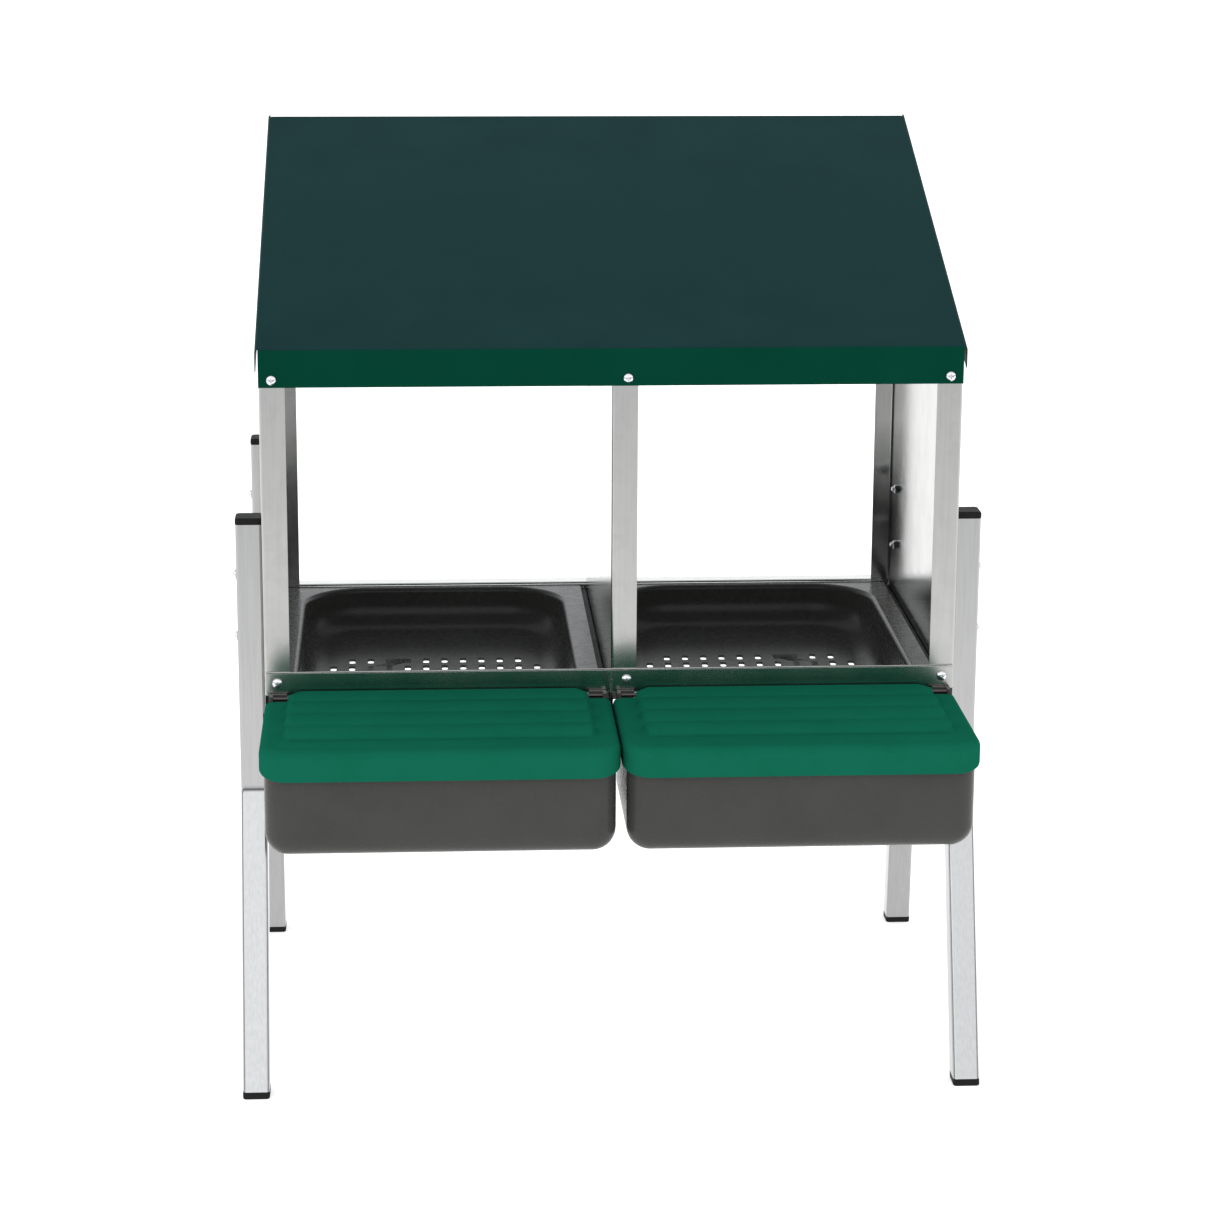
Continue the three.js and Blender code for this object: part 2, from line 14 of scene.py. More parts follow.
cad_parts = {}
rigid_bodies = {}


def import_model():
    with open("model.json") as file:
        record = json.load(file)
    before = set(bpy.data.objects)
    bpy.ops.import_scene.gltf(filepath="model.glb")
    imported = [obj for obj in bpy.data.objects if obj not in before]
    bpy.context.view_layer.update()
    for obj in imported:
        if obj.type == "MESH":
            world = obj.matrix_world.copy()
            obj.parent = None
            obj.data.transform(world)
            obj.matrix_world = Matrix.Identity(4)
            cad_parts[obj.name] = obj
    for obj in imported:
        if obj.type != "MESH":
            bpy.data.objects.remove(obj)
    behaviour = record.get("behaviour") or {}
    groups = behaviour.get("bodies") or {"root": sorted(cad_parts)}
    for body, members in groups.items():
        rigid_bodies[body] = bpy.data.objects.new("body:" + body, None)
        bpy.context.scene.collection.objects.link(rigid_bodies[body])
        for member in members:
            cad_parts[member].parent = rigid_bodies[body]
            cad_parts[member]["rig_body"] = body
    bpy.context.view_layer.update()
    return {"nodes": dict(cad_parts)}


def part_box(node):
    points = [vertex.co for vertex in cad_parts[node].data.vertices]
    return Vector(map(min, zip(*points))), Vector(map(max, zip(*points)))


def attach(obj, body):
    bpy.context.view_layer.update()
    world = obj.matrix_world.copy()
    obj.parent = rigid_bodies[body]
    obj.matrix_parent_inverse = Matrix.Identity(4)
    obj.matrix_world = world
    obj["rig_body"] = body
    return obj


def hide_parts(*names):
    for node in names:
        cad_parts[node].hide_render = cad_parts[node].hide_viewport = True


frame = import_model()

# ---- Places and sizes ----

POST_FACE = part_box("side_panel_left")[0].y * 1000


def extent(node):
    """Lowest and highest corner of a CAD node, in the layout's millimetres."""
    shift = Vector((0, POST_FACE, 0))
    return [corner * 1000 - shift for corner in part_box(node)]


SHEET = 1.0
GAP = 0.3
FOLD = 3.0                    # outside radius of the galvanised folds
ROOF_FOLD = 3.2
CUT_EDGE = 0.18               # how much a sheet's cut edges are broken
LEFT_FACE = extent("side_panel_left")[0].x
HOUSING_DEPTH = extent("side_panel_left")[1].y
WEB_BOTTOM = extent("side_panel_left")[0].z
POST_BOTTOM = extent("front_rail")[0].z
POST_FLANGE = 24
REAR_FLANGE = 20

ROOF_LOW, ROOF_HIGH = extent("roof_panel")
FASCIA_HEIGHT = 34.8
FASCIA_HALF = 325
ROOF_SIDE_FLANGE = 20
ROOF_REAR_FLANGE = 30
EAVES = ROOF_LOW.z + FASCIA_HEIGHT
ROOF_SLOPE = (ROOF_HIGH.z - EAVES) / (ROOF_HIGH.y - ROOF_LOW.y)
ROOF_ANGLE = math.atan(ROOF_SLOPE)

RAIL_LOW, RAIL_HIGH = extent("front_rail")
RAIL_ROLL = 0.65              # radius of the rail's rolled upper edge
LEDGE_LOW, LEDGE_HIGH = extent("rear_rail")
LEDGE_LIP = 7

RUNNER_HEIGHT = 18
RUNNER_REACH = 20
RUNNER_BEND = 1.6
RUNNER_FRONT = 2

TRAY_MIDDLE = -162.7
RIM_TOP = 371.5
RIM_THICKNESS = 2.5
RIM_HALF = 155.5
RIM_REAR = 428
RIM_REAR_CORNER = 6
RIM_FLARE = 5                 # radius between the rim and the recess's wall
NEST_HALF = 133.25
NEST_REAR = 420
NEST_CORNER = 60
NEST_EDGE = 24
NEST_WALL = 2.5
NEST_FLOOR = 293
NEST_RISE = 0.0905
COLLECTOR_HALF = 158
COLLECTOR_FRONT = -173
COLLECTOR_REAR = -5.5
COLLECTOR_BOTTOM = 272
COLLECTOR_RADIUS = 22
COLLECTOR_WALL = 3
POCKET_REAR = 20

SLOT_WIDTH = 6
SLOT_LENGTH = 12
SLOT_PITCH = 19
SLOT_ROW_PITCH = 20.5
SLOT_REAR_ROW = 313
SLOTS_IN_ROWS = [10, 12, 12, 12, 12, 12, 12, 12]

LID_HALF = 162
LID_FRONT = -180
LID_REAR = -4.5
LID_TOP = 374
LID_LIP = 346.6
LID_LIP_RISE = 6              # of the lip, from the front to the sides
LID_LIP_TURN = 24             # over which the lip rises, next to each side
LID_WALL = 2.2
LID_CORNER = 27
LID_EDGE = 8
LID_INNER_EDGE = 3
RIB_SEAT = LID_TOP - 0.4      # the height to which the ribs fade out
RIB_HALF = 143
RIB_CHAMFER = 9
RIB_CREST = 381
RIB_GROOVE = 374.9
RIB_FULLNESS = 0.42           # the lower, the flatter a crest and the narrower a groove
RIB_BOUNDS = [-4.5, -27, -66, -107, -143]
RIB_NOTCH = 7                 # how far a groove's end is drawn in between two ribs
RIB_END = 6                   # over which a rib's end comes down
RIB_END_FULLNESS = 0.7        # the lower, the blunter a rib's end

PIN_RADIUS = 1.6
PIN_Y = -11.5
PIN_Z = 375.6
LUG_OUTER = 157.8             # from the tray's middle, like the other lug and notch sizes
LUG_LENGTH = 16.5
LUG_FRONT = -5.6
LUG_REAR = -2
EAR_THICKNESS = 3.8
EAR_FRONT = -15
NOTCH_FRONT = -15.8
NOTCH_INNER = LUG_OUTER - LUG_LENGTH - 0.7
NOTCH_OUTER = LUG_OUTER + 0.7
BOSS_RADIUS = 3.8
BOSS_LENGTH = 7

TUBE = 25
TUBE_WALL = 1.5
TUBE_CORNER = 3
LEG_MIDDLE = LEFT_FACE - GAP - TUBE / 2
BEND_HEIGHT = 277.6
BEND_RADIUS = 42
CAP_HEIGHT = 6
CAP_OVERHANG = 0.3            # of a cap's plate past the tube
CAP_PLUG = 12
PLUG_CLEARANCE = 0.4
LEGS = {
    "front": {"front": 22, "foot": -71.7, "top": 541},
    "rear": {"front": 363, "foot": 385, "top": 546},
}

SCREW_HEAD = 3
BOLT_HEAD = 3.7
HEAD_RADIUS = 4.8


# ---- Shapes ----


class Shape:
    """Corners in the layout's millimetres, and the faces between them."""

    def __init__(self):
        self.corners = []
        self.faces = []

    def add(self, corners, faces):
        first = len(self.corners)
        self.corners.extend(Vector(corner) for corner in corners)
        self.faces.extend([first + i for i in face] for face in faces)
        return self

    def join(self, other):
        return self.add(other.corners, other.faces)

    def moved(self, matrix):
        return Shape().add([matrix @ corner for corner in self.corners], self.faces)


MIRROR = Matrix.Diagonal((-1, 1, 1, 1))


def loft(loops, capped=True, wrapped=False):
    """Skins a row of closed outlines that have the same number of points."""
    count = len(loops[0])
    rows = len(loops) if wrapped else len(loops) - 1
    faces = []
    for row in range(rows):
        here = row * count
        there = (row + 1) % len(loops) * count
        for i in range(count):
            j = (i + 1) % count
            faces.append([here + i, here + j, there + j, there + i])
    if capped and not wrapped:
        last = (len(loops) - 1) * count
        faces.append(list(reversed(range(count))))
        faces.append([last + i for i in range(count)])
    return Shape().add([point for loop in loops for point in loop], faces)


def arc(centre, radius, start, end, steps):
    """Points on an arc between two angles in degrees."""
    points = []
    for i in range(steps + 1):
        angle = math.radians(start + (end - start) * i / steps)
        points.append((centre[0] + radius * math.cos(angle), centre[1] + radius * math.sin(angle)))
    return points


def quarter_turn(steps):
    """Angles from 0 to a right angle."""
    return [math.pi / 2 * i / steps for i in range(steps + 1)]


def filleted(points, radius, steps=5):
    """An open line of 2-D points with its inner corners rounded."""
    line = [Vector(point) for point in points]
    out = [line[0]]
    for before, corner, after in zip(line, line[1:], line[2:]):
        to_before = (before - corner).normalized()
        to_after = (after - corner).normalized()
        half = to_before.angle(to_after) / 2
        centre = corner + (to_before + to_after).normalized() * radius / math.sin(half)
        start = corner + to_before * radius / math.tan(half) - centre
        turn = start.angle_signed(corner + to_after * radius / math.tan(half) - centre)
        for i in range(steps + 1):
            out.append(centre + Matrix.Rotation(-turn * i / steps, 2) @ start)
    out.append(line[-1])
    return out


def thick(path, thickness):
    """A closed outline: an open 2-D line, and the same line set off to its left."""
    other = []
    for i, point in enumerate(path):
        ahead = (path[min(i + 1, len(path) - 1)] - point).normalized()
        behind = (point - path[max(i - 1, 0)]).normalized()
        along = (ahead + behind).normalized()
        share = along.dot(ahead) or along.dot(behind)
        other.append(point + Vector((-along.y, along.x)) * thickness / share)
    return path + other[::-1]


def along_x(outline, x0, x1):
    """An outline of (y, z) points, carried from x0 to x1."""
    return loft([[(x, y, z) for y, z in outline] for x in (x0, x1)])


def along_y(outline, y0, y1):
    return loft([[(x, y, z) for x, z in outline] for y in (y0, y1)])


def rectangle(x_span, y_span, front_radius, rear_radius, steps=8):
    """A rectangle in plan with rounded corners, as (x, y) points."""
    (x0, x1), (y0, y1) = x_span, y_span
    f, r = front_radius, rear_radius
    return (
        arc((x0 + f, y0 + f), f, 180, 270, steps)
        + arc((x1 - f, y0 + f), f, 270, 360, steps)
        + arc((x1 - r, y1 - r), r, 0, 90, steps)
        + arc((x0 + r, y1 - r), r, 90, 180, steps)
    )


def level(plan, z, rise=0.0):
    """A plan outline at a height, which may climb to the rear."""
    return [(x, y, z + rise * y) for x, y in plan]


def block(x_span, y_span, z_span):
    (x0, x1), (y0, y1), (z0, z1) = x_span, y_span, z_span
    ground = [(x0, y0), (x1, y0), (x1, y1), (x0, y1)]
    return loft([level(ground, z0), level(ground, z1)])


def inset_plan(x_span, y_span, radii, inset, steps=8):
    """A rounded rectangle, shrunk all round. Its corners keep a radius of at least 0.4."""
    front, rear = (max(radius - inset, 0.4) for radius in radii)
    x0, x1 = x_span
    y0, y1 = y_span
    return rectangle((x0 + inset, x1 - inset), (y0 + inset, y1 - inset), front, rear, steps)


def rounded_block(
    x_span, y_span, z_span, radii, low_edge=0.0, high_edge=0.0, steps=6, corner_steps=8
):
    """A block with rounded upright corners and rounded lower and upper edges."""
    loops = []
    z0, z1 = z_span
    for edge, z_end, inwards in ((low_edge, z0, 1), (high_edge, z1, -1)):
        angles = quarter_turn(steps) if edge else [math.pi / 2]
        part = []
        for angle in angles:
            plan = inset_plan(x_span, y_span, radii, edge * (1 - math.sin(angle)), corner_steps)
            part.append(level(plan, z_end + inwards * edge * (1 - math.cos(angle))))
        loops.extend(part if inwards > 0 else reversed(part))
    return loft(loops)


def turned(profile, sides=32):
    """A solid turned about the Y axis, from (radius, y) points off the axis."""
    loops = []
    for radius, y in profile:
        turns = [2 * math.pi * i / sides for i in range(sides)]
        loops.append([(radius * math.cos(a), y, radius * math.sin(a)) for a in turns])
    return loft(loops)


def rod_x(radius, x_span, y, z, sides=24, chamfer=0.3):
    """A cylinder along X with slightly chamfered ends."""
    x0, x1 = x_span
    narrow = radius - chamfer
    profile = [(narrow, x0), (radius, x0 + chamfer), (radius, x1 - chamfer), (narrow, x1)]
    lying = Matrix.Translation((0, y, z)) @ Matrix.Rotation(-math.pi / 2, 4, "Z")
    return turned(profile, sides).moved(lying)


def tidy_mesh(mesh, merge=1e-4, outward=None):
    """Merges corners that coincide and turns the faces outwards. On an open sheet, outward is
    the way that its largest face looks."""
    form = bmesh.new()
    form.from_mesh(mesh)
    bmesh.ops.remove_doubles(form, verts=form.verts, dist=merge)
    bmesh.ops.recalc_face_normals(form, faces=form.faces)
    if outward is not None:
        largest = max(form.faces, key=lambda face: face.calc_area())
        if largest.normal.dot(Vector(outward)) < 0:
            bmesh.ops.reverse_faces(form, faces=form.faces)
    for face in form.faces:
        face.smooth = True
    form.to_mesh(mesh)
    form.free()


def temporary(shape):
    """An object to carve with, in millimetres."""
    mesh = bpy.data.meshes.new("temporary")
    mesh.from_pydata(shape.corners, [], shape.faces)
    tidy_mesh(mesh)
    obj = bpy.data.objects.new("temporary", mesh)
    bpy.context.scene.collection.objects.link(obj)
    return obj


def carve(base, joined=(), removed=()):
    """Joins shapes to a base, then cuts others out of it."""
    body = temporary(base)
    tools = []
    for operation, shapes in (("UNION", joined), ("DIFFERENCE", removed)):
        for shape in shapes:
            tools.append(temporary(shape))
            modifier = body.modifiers.new("carve", "BOOLEAN")
            modifier.operation = operation
            modifier.solver = "MANIFOLD"
            modifier.object = tools[-1]
    graph = bpy.context.evaluated_depsgraph_get()
    mesh = bpy.data.meshes.new_from_object(body.evaluated_get(graph))
    result = Shape().add([v.co for v in mesh.vertices], [list(p.vertices) for p in mesh.polygons])
    bpy.data.meshes.remove(mesh)
    for obj in [body, *tools]:
        bpy.data.objects.remove(obj)
    return result


# ---- Pieces ----


BEVEL_ANGLE = math.radians(35)
SHARP_ANGLE = math.radians(50)


def add_piece(node, shape, slot, edge=0.0, sheet=None):
    """Makes a shape the fine piece that stands for a CAD node. A sheet is an open surface that is
    given its thickness here; sheet is then the way that its largest face looks."""
    mesh = bpy.data.meshes.new("fine_" + node)
    shift = Vector((0, POST_FACE, 0))
    mesh.from_pydata([(corner + shift) / 1000 for corner in shape.corners], [], shape.faces)
    tidy_mesh(mesh, merge=1e-6, outward=sheet)
    mesh.materials.append(finishes[slot])
    obj = bpy.data.objects.new("fine_" + node, mesh)
    bpy.context.scene.collection.objects.link(obj)
    if sheet is not None:
        solid = obj.modifiers.new("thickness", "SOLIDIFY")
        solid.thickness = SHEET / 1000
        solid.offset = -1
        solid.use_even_offset = True
    if edge:
        bevel = obj.modifiers.new("edges", "BEVEL")
        bevel.width = edge / 1000
        bevel.segments = 2
        bevel.limit_method = "ANGLE"
        bevel.angle_limit = BEVEL_ANGLE
        bevel.use_clamp_overlap = False
        bevel.miter_outer = "MITER_ARC"
    normals = obj.modifiers.new("normals", "WEIGHTED_NORMAL")
    normals.weight = 90
    normals.keep_sharp = True
    mesh.set_sharp_from_angle(angle=SHARP_ANGLE)
    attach(obj, frame["nodes"][node]["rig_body"])
    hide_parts(node)


def add_pair(node, left_shape, slot, sheet=None, **options):
    """Adds a piece on the left, and its mirror image on the right."""
    for side, matrix in (("left", Matrix.Identity(4)), ("right", MIRROR)):
        faces = None if sheet is None else matrix @ Vector(sheet)
        add_piece(f"{node}_{side}", left_shape.moved(matrix), slot, sheet=faces, **options)


# ---- Finishes ----


def shader(name):
    """A new material, with its node tree and its surface node."""
    material = bpy.data.materials.new(name)
    material.use_nodes = True
    tree = material.node_tree
    return material, tree, tree.nodes["Principled BSDF"]


def linear(red, green, blue):
    """A colour given in the 0 to 255 steps of a screen."""
    out = []
    for step in (red, green, blue):
        share = step / 255
        out.append(share / 12.92 if share <= 0.04045 else ((share + 0.055) / 1.055) ** 2.4)
    return (*out, 1)


def feed(tree, socket, source):
    """Links a socket to another one, or gives it a plain value."""
    if isinstance(source, bpy.types.NodeSocket):
        tree.links.new(source, socket)
    else:
        socket.default_value = source


def axes(tree, vector):
    """The X, Y and Z of a vector's socket."""
    node = tree.nodes.new("ShaderNodeSeparateXYZ")
    tree.links.new(vector, node.inputs["Vector"])
    return [node.outputs[axis] for axis in "XYZ"]


def combined(tree, operation, *sources):
    """The result of a math operation on numbers and sockets."""
    node = tree.nodes.new("ShaderNodeMath")
    node.operation = operation
    for socket, source in zip(node.inputs, sources):
        feed(tree, socket, source)
    return node.outputs["Value"]


def noise(tree, scale, stretch=(1, 1, 1), detail=3, roughness=0.5):
    """A noise that stays on the piece, with a scale in cycles per metre."""
    place = tree.nodes.new("ShaderNodeTexCoord")
    mapping = tree.nodes.new("ShaderNodeMapping")
    mapping.inputs["Scale"].default_value = stretch
    texture = tree.nodes.new("ShaderNodeTexNoise")
    texture.inputs["Scale"].default_value = scale
    texture.inputs["Detail"].default_value = detail
    texture.inputs["Roughness"].default_value = roughness
    tree.links.new(place.outputs["Object"], mapping.inputs["Vector"])
    tree.links.new(mapping.outputs["Vector"], texture.inputs["Vector"])
    return texture.outputs["Fac"]


def cells(tree, scale):
    """Flat patches, each with its own shade, with a scale in patches per metre."""
    place = tree.nodes.new("ShaderNodeTexCoord")
    texture = tree.nodes.new("ShaderNodeTexVoronoi")
    texture.inputs["Scale"].default_value = scale
    tree.links.new(place.outputs["Object"], texture.inputs["Vector"])
    return texture.outputs["Color"]


def ramp(tree, value, start, end, low, high):
    """Takes a value between start and end to low and high."""
    node = tree.nodes.new("ShaderNodeMapRange")
    node.inputs["From Min"].default_value = start
    node.inputs["From Max"].default_value = end
    node.inputs["To Min"].default_value = low
    node.inputs["To Max"].default_value = high
    tree.links.new(value, node.inputs["Value"])
    return node.outputs["Result"]


def spread(tree, value, low, high):
    """Takes a noise's middle range to low and high."""
    return ramp(tree, value, 0.3, 0.7, low, high)


def blended(tree, share, dark, light):
    """Blends two colours or sockets: dark where the share is 0, light where it is 1."""
    node = tree.nodes.new("ShaderNodeMix")
    node.data_type = "RGBA"
    feed(tree, node.inputs["A"], dark)
    feed(tree, node.inputs["B"], light)
    tree.links.new(share, node.inputs["Factor"])
    return node.outputs["Result"]


def bumped(tree, surface, height, depth_mm, strength):
    """Roughens a surface's shading by a height, without moving the surface."""
    node = tree.nodes.new("ShaderNodeBump")
    node.inputs["Strength"].default_value = strength
    node.inputs["Distance"].default_value = depth_mm / 1000
    tree.links.new(height, node.inputs["Height"])
    tree.links.new(node.outputs["Normal"], surface.inputs["Normal"])


def galvanised_sheet():
    """Bright zinc: rolling streaks, faint crystals and slightly uneven gloss."""
    material, tree, surface = shader("galvanised_sheet")
    streaks = noise(tree, 60, stretch=(6, 6, 0.25), detail=4)
    crystals = cells(tree, 90)
    mottling = tree.nodes.new("ShaderNodeMix")
    mottling.inputs["Factor"].default_value = 0.25
    tree.links.new(streaks, mottling.inputs["A"])
    tree.links.new(crystals, mottling.inputs["B"])
    share = spread(tree, mottling.outputs["Result"], 0, 1)
    colour = blended(tree, share, linear(172, 172, 170), linear(180, 180, 178))
    tree.links.new(colour, surface.inputs["Base Color"])
    tree.links.new(spread(tree, noise(tree, 25), 0.16, 0.21), surface.inputs["Roughness"])
    surface.inputs["Metallic"].default_value = 1
    bumped(tree, surface, streaks, 0.012, strength=0.12)
    return material


def roof_paint():
    """Dark green coil coating with a fine orange peel, and a painted bluish sky reflection: faces
    that look up get a greyer, bluish colour.
    """
    material, tree, surface = shader("roof_paint")
    surface.inputs["Specular IOR Level"].default_value = 0.02
    surface.inputs["Specular Tint"].default_value = (0.6, 0.6, 1, 1)
    share = spread(tree, noise(tree, 14, detail=5), 0, 1)
    upright = blended(tree, share, linear(3, 57, 41), linear(4, 60, 44))
    # painted reflection: this greyer, bluish colour on upward faces stands in for the sky's sheen on
    # the deck
    painted_sky_sheen = blended(tree, share, linear(18, 48, 48), linear(20, 51, 51))
    geometry = tree.nodes.new("ShaderNodeNewGeometry")
    upward = axes(tree, geometry.outputs["Normal"])[2]
    colour = blended(tree, ramp(tree, upward, 0.4, 0.9, 0, 1), upright, painted_sky_sheen)
    tree.links.new(colour, surface.inputs["Base Color"])
    tree.links.new(spread(tree, noise(tree, 40), 0.30, 0.38), surface.inputs["Roughness"])
    bumped(tree, surface, noise(tree, 900, detail=2), 0.02, strength=0.35)
    return material


def moulded_plastic(name, dark, light, roughness, sheen):
    """Moulded plastic with a fine erosion grain and a slight cloudiness."""
    material, tree, surface = shader(name)
    surface.inputs["Specular IOR Level"].default_value = sheen
    share = spread(tree, noise(tree, 22, detail=6, roughness=0.6), 0, 1)
    tree.links.new(blended(tree, share, dark, light), surface.inputs["Base Color"])
    low, high = roughness
    tree.links.new(spread(tree, noise(tree, 120), low, high), surface.inputs["Roughness"])
    bumped(tree, surface, noise(tree, 1400, detail=2, roughness=0.7), 0.03, strength=0.2)
    return material


def bright_metal(name, dark, light, roughness, marks_scale):
    """Plated or drawn metal with fine working marks."""
    material, tree, surface = shader(name)
    marks = noise(tree, marks_scale)
    share = spread(tree, marks, 0, 1)
    tree.links.new(blended(tree, share, dark, light), surface.inputs["Base Color"])
    low, high = roughness
    tree.links.new(spread(tree, marks, low, high), surface.inputs["Roughness"])
    surface.inputs["Metallic"].default_value = 1
    bumped(tree, surface, marks, 0.01, strength=0.3)
    return material


def leg_tube():
    """Welded tube, zinc coated: long streaks down its length."""
    material, tree, surface = shader("leg_tube")
    streaks = noise(tree, 90, stretch=(5, 5, 0.2), detail=4)
    share = spread(tree, streaks, 0, 1)
    colour = blended(tree, share, linear(164, 164, 164), linear(171, 171, 171))
    tree.links.new(colour, surface.inputs["Base Color"])
    tree.links.new(spread(tree, noise(tree, 30), 0.09, 0.12), surface.inputs["Roughness"])
    surface.inputs["Metallic"].default_value = 1
    bumped(tree, surface, streaks, 0.01, strength=0.08)
    return material


finishes = {
    "galvanised_sheet": galvanised_sheet(),
    "roof_paint": roof_paint(),
    "tray_plastic": moulded_plastic(
        "tray_plastic", linear(60, 60, 58), linear(64, 64, 62), (0.24, 0.3), 0.13
    ),
    "lid_plastic": moulded_plastic(
        "lid_plastic", linear(16, 92, 70), linear(18, 96, 74), (0.5, 0.58), 0.0
    ),
    "black_plastic": moulded_plastic(
        "black_plastic", linear(30, 30, 29), linear(36, 36, 35), (0.45, 0.55), 0.05
    ),
    "pin_steel": bright_metal(
        "pin_steel", linear(84, 76, 75), linear(94, 86, 84), (0.35, 0.45), 500
    ),
    "leg_tube": leg_tube(),
    "zinc_fastener": bright_metal(
        "zinc_fastener", linear(214, 216, 220), linear(226, 228, 232), (0.14, 0.24), 700
    ),
}


# ---- Housing ----


def roof_height(y):
    """Upper face of the roof's deck."""
    return EAVES + (y - ROOF_LOW.y) * ROOF_SLOPE


def under_roof(y):
    """Upper end of the uprights, just below the roof sheet."""
    return roof_height(y) - (SHEET + GAP) / math.cos(ROOF_ANGLE)


QUAD = [[0, 1, 2, 3]]


def strip(shape, points, low, high):
    """Adds upright faces over a line of (x, y) points, between two heights."""
    for (xa, ya), (xb, yb) in zip(points, points[1:]):
        shape.add([(xa, ya, low), (xb, yb, low), (xb, yb, high), (xa, ya, high)], QUAD)


def upright(face_x):
    """The outside of a side panel or of the divider: a web at face_x, with a front and a rear
    flange that turn towards +X over rounded folds."""
    shape = Shape()
    rear = HOUSING_DEPTH
    front_fold = [(face_x + POST_FLANGE, 0)] + arc((face_x + FOLD, FOLD), FOLD, 270, 180, 5)
    rear_fold = arc((face_x + FOLD, rear - FOLD), FOLD, 180, 90, 5) + [(face_x + REAR_FLANGE, rear)]
    front_top = under_roof(0)
    rear_top = under_roof(rear - FOLD)
    strip(shape, front_fold, POST_BOTTOM, front_top)
    strip(shape, rear_fold, WEB_BOTTOM, rear_top)
    web = [
        (face_x, FOLD, WEB_BOTTOM),
        (face_x, rear - FOLD, WEB_BOTTOM),
        (face_x, rear - FOLD, rear_top),
        (face_x, FOLD, front_top),
        (face_x, FOLD, POST_BOTTOM),
    ]
    return shape.add(web, [[0, 1, 2, 3, 4]])


def roof_profile():
    """Front and rear folds of the roof's outside, as lines of (y, z) points from front to rear."""
    tilt = math.degrees(ROOF_ANGLE)
    drop = ROOF_FOLD / math.cos(ROOF_ANGLE)
    front_y = ROOF_LOW.y + ROOF_FOLD
    rear_y = ROOF_HIGH.y - ROOF_FOLD
    front = arc((front_y, roof_height(front_y) - drop), ROOF_FOLD, 180, 90 + tilt, 6)
    rear = arc((rear_y, roof_height(rear_y) - drop), ROOF_FOLD, 90 + tilt, 0, 8)
    return front, rear


def side_flange_section():
    """The fold and the flange at a side of the roof, as (x, drop below the deck) points."""
    turn = ROOF_HIGH.x - FASCIA_HALF
    section = []
    for angle in quarter_turn(6):
        section.append((FASCIA_HALF + turn * math.sin(angle), turn * (1 - math.cos(angle))))
    section.append((ROOF_HIGH.x, ROOF_SIDE_FLANGE))
    return section


def roof():
    """The outside of the roof sheet: deck, fascia, rear flange and two side flanges, with the
    corners of the folds left open as a sheet's relief notches are."""
    shape = Shape()
    front, rear = roof_profile()
    rear_edge = (ROOF_HIGH.y, ROOF_HIGH.z - ROOF_REAR_FLANGE)
    profile = [(ROOF_LOW.y, ROOF_LOW.z), *front, *rear, rear_edge]
    left, right = -FASCIA_HALF, FASCIA_HALF
    for (ya, za), (yb, zb) in zip(profile, profile[1:]):
        shape.add([(left, ya, za), (left, yb, zb), (right, yb, zb), (right, ya, za)], QUAD)
    deck_front = front[-1][0]
    deck_rear = rear[0][0]
    section = side_flange_section()
    for side in (-1, 1):
        for number, ((xa, da), (xb, db)) in enumerate(zip(section, section[1:])):
            spans = [(deck_front, deck_rear)]
            if number > 0:
                spans += [(ROOF_LOW.y, deck_front), (ROOF_HIGH.y, deck_rear)]
            for y0, y1 in spans:
                z0, z1 = roof_height(y0), roof_height(y1)
                x0, x1 = side * xa, side * xb
                corners = [(x0, y0, z0 - da), (x0, y1, z1 - da), (x1, y1, z1 - db), (x1, y0, z0 - db)]
                shape.add(corners, QUAD)
    return shape


def runner(web_x, inwards):
    """An angle from the web face at web_x, its horizontal leg reaching inwards."""
    top = RIM_TOP - RIM_THICKNESS - GAP
    start = web_x + inwards * GAP
    line = [(start, top - RUNNER_HEIGHT), (start, top), (start + inwards * RUNNER_REACH, top)]
    outline = thick(filleted(line, RUNNER_BEND), -inwards * SHEET)
    return along_y(outline, RUNNER_FRONT, RIM_REAR)


def front_rail():
    """A strip across the posts, whose upper edge is rolled forward."""
    back = -GAP
    top = RAIL_HIGH.z
    centre = (back - RAIL_ROLL, top - RAIL_ROLL)
    outline = [(back, RAIL_LOW.z)] + arc(centre, RAIL_ROLL, 0, 250, 12)
    outline += [(back - SHEET, top - 3.2 * RAIL_ROLL), (back - SHEET, RAIL_LOW.z)]
    return along_x(outline, RAIL_LOW.x, RAIL_HIGH.x)


def rear_rail():
    """An angle across the rear flanges, with a ledge and a turned-down lip."""
    back = HOUSING_DEPTH + GAP
    top = LEDGE_HIGH.z
    rear = LEDGE_HIGH.y
    line = [(back, LEDGE_LOW.z), (back, top), (rear, top), (rear, top - LEDGE_LIP)]
    return along_x(thick(filleted(line, FOLD), -SHEET), LEDGE_LOW.x, LEDGE_HIGH.x)


def add_housing():
    zinc = "galvanised_sheet"
    add_pair("side_panel", upright(LEFT_FACE), zinc, sheet=(-1, 0, 0), edge=CUT_EDGE)
    add_piece("center_divider", upright(-SHEET / 2), zinc, sheet=(-1, 0, 0), edge=CUT_EDGE)
    side_face = LEFT_FACE + SHEET
    runners = {
        "left_outer": (side_face, 1),
        "left_inner": (-SHEET / 2, -1),
        "right_inner": (SHEET / 2, 1),
        "right_outer": (-side_face, -1),
    }
    for place, (web_x, inwards) in runners.items():
        # painted shade: the runners get the black plastic finish so the gap between each tray's rim
        # and the web reads dark
        add_piece(f"tray_runner_{place}", runner(web_x, inwards), "black_plastic", edge=CUT_EDGE)
    add_piece("front_rail", front_rail(), zinc, edge=CUT_EDGE)
    add_piece("rear_rail", rear_rail(), zinc, edge=CUT_EDGE)
    add_piece("roof_panel", roof(), "roof_paint", sheet=(0, 0, 1), edge=CUT_EDGE)


# ---- Trays ----


def across(half, inset=0.0):
    """A span in X about the tray's middle."""
    return (TRAY_MIDDLE - half + inset, TRAY_MIDDLE + half - inset)


